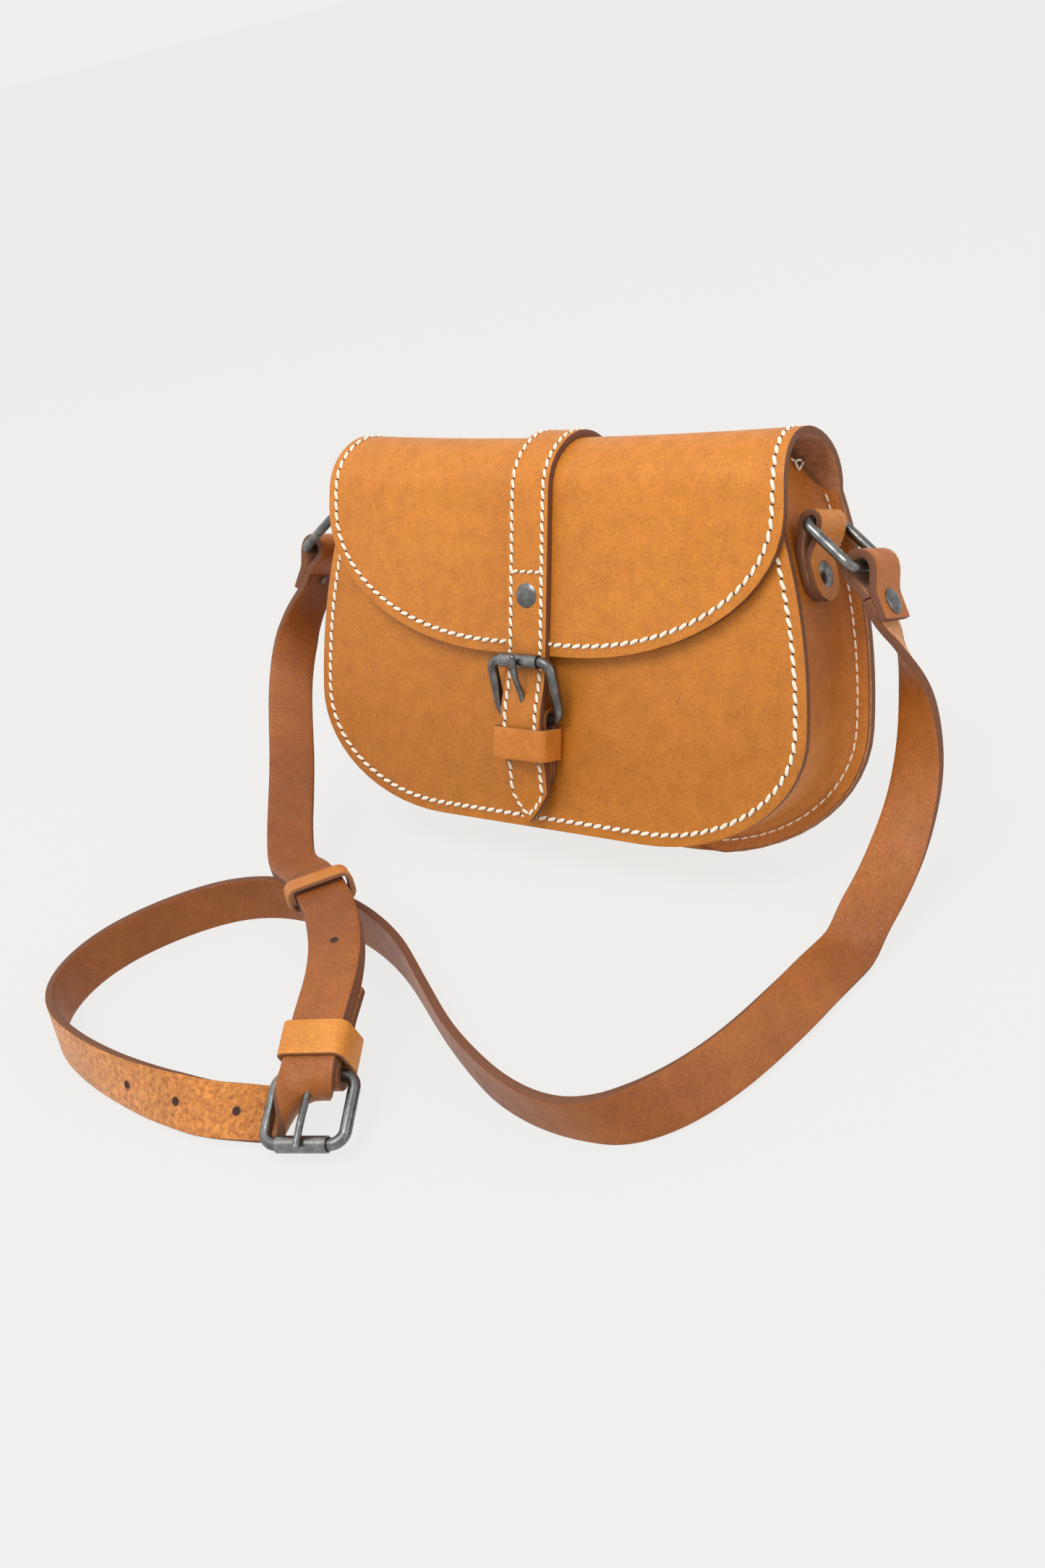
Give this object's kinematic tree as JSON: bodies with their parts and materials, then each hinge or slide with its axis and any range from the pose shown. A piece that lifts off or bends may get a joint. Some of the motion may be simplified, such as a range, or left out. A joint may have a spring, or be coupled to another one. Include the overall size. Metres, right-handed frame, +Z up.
{
  "type": "sling bag",
  "caption": "Small saddle-shaped leather shoulder bag with a fold-over flap, a buckled closure strap, side rings and an adjustable shoulder strap with a roller buckle",
  "frame": {"origin": "middle of the small flat worn on the lower rear edge of the back panel, the line the leaning bag stands on", "axes": "+X to the right as seen from the front, +Y towards the back, +Z up, with the bag leaning back 22 degrees"},
  "size_m": [0.3229, 0.2834, 0.1711],
  "materials": {
    "bridle_leather": "smooth tan bridle leather, fine grain, light wear",
    "strap_leather": "tan strap leather, smooth grain side and suede flesh side",
    "keeper_leather": "lighter tan leather",
    "antique_nickel": "antique nickel, dark with worn bright edges"
  },
  "bodies": {
    "bag": {"front_panel": "bridle_leather", "back_panel": "bridle_leather", "gusset": "bridle_leather", "centre_strap_back": "strap_leather", "chape": "strap_leather", "keeper_front": "keeper_leather", "tab_right": "strap_leather", "tab_left": "strap_leather", "tab_rivet_right": "antique_nickel", "tab_rivet_left": "antique_nickel", "strap_end_right": "strap_leather", "strap_end_left": "strap_leather", "strap_rivet_right": "antique_nickel", "strap_rivet_left": "antique_nickel", "strap_drop_right": "strap_leather", "strap_loop": "strap_leather", "strap_tip": "strap_leather", "short_strap": "strap_leather", "keeper_lower": "keeper_leather"},
    "lid": {"flap": "bridle_leather", "centre_strap": "strap_leather", "flap_rivet": "antique_nickel", "closure_tongue": "strap_leather"},
    "front_frame": {"buckle_frame": "antique_nickel"},
    "front_roller": {"buckle_roller": "antique_nickel"},
    "front_prong": {"buckle_prong": "antique_nickel"},
    "shoulder_frame": {"strap_buckle_frame": "antique_nickel"},
    "shoulder_roller": {"strap_buckle_roller": "antique_nickel"},
    "shoulder_prong": {"strap_buckle_prong": "antique_nickel"},
    "loop_right": {"ring_right": "antique_nickel"},
    "loop_left": {"ring_left": "antique_nickel"},
    "sliding_keeper": {"keeper_upper": "keeper_leather"}
  },
  "joints": [
    {"name": "flap_hinge", "type": "hinge", "parent": "bag", "child": "lid", "pos_m": [0, 0.05928, 0.13524], "axis": [-1, 0, 0], "range_deg": [0, 150], "deforming": ["closure_tongue"]},
    {"name": "front_frame_tilt", "type": "hinge", "parent": "bag", "child": "front_frame", "pos_m": [0, -0.02016, 0.06703], "axis": [1, 0, 0], "range_deg": [0, 30]},
    {"name": "front_prong_tilt", "type": "hinge", "parent": "front_frame", "child": "front_prong", "pos_m": [0, -0.02016, 0.06703], "axis": [1, 0, 0], "range_deg": [0, 30]},
    {"name": "front_roller_spin", "type": "hinge", "parent": "front_frame", "child": "front_roller", "pos_m": [0, -0.0188, 0.09229], "axis": [1, 0, 0], "continuous": true},
    {"name": "shoulder_frame_tilt", "type": "hinge", "parent": "bag", "child": "shoulder_frame", "pos_m": [0.0156, -0.1921, 0.0175], "axis": [-0.9305, -0.3662, 0], "range_deg": [0, 10]},
    {"name": "shoulder_prong_tilt", "type": "hinge", "parent": "shoulder_frame", "child": "shoulder_prong", "pos_m": [0.0156, -0.1921, 0.0175], "axis": [-0.9305, -0.3662, 0], "range_deg": [0, 6]},
    {"name": "shoulder_roller_spin", "type": "hinge", "parent": "shoulder_frame", "child": "shoulder_roller", "pos_m": [0.02395, -0.21336, 0.00662], "axis": [-0.9305, -0.3662, 0], "continuous": true},
    {"name": "ring_right_swing", "type": "hinge", "parent": "bag", "child": "loop_right", "pos_m": [0.117, 0.0304, 0.13396], "axis": [0, 0.9272, -0.3746], "range_deg": [-3, 3]},
    {"name": "ring_left_swing", "type": "hinge", "parent": "bag", "child": "loop_left", "pos_m": [-0.117, 0.0304, 0.13396], "axis": [0, 0.9272, -0.3746], "range_deg": [-3, 3]},
    {"name": "keeper_slide", "type": "slide", "parent": "bag", "child": "sliding_keeper", "axis": [-0.8173, 0.5643, -0.1168], "range_m": [-0.004, 0.004]}
  ]
}
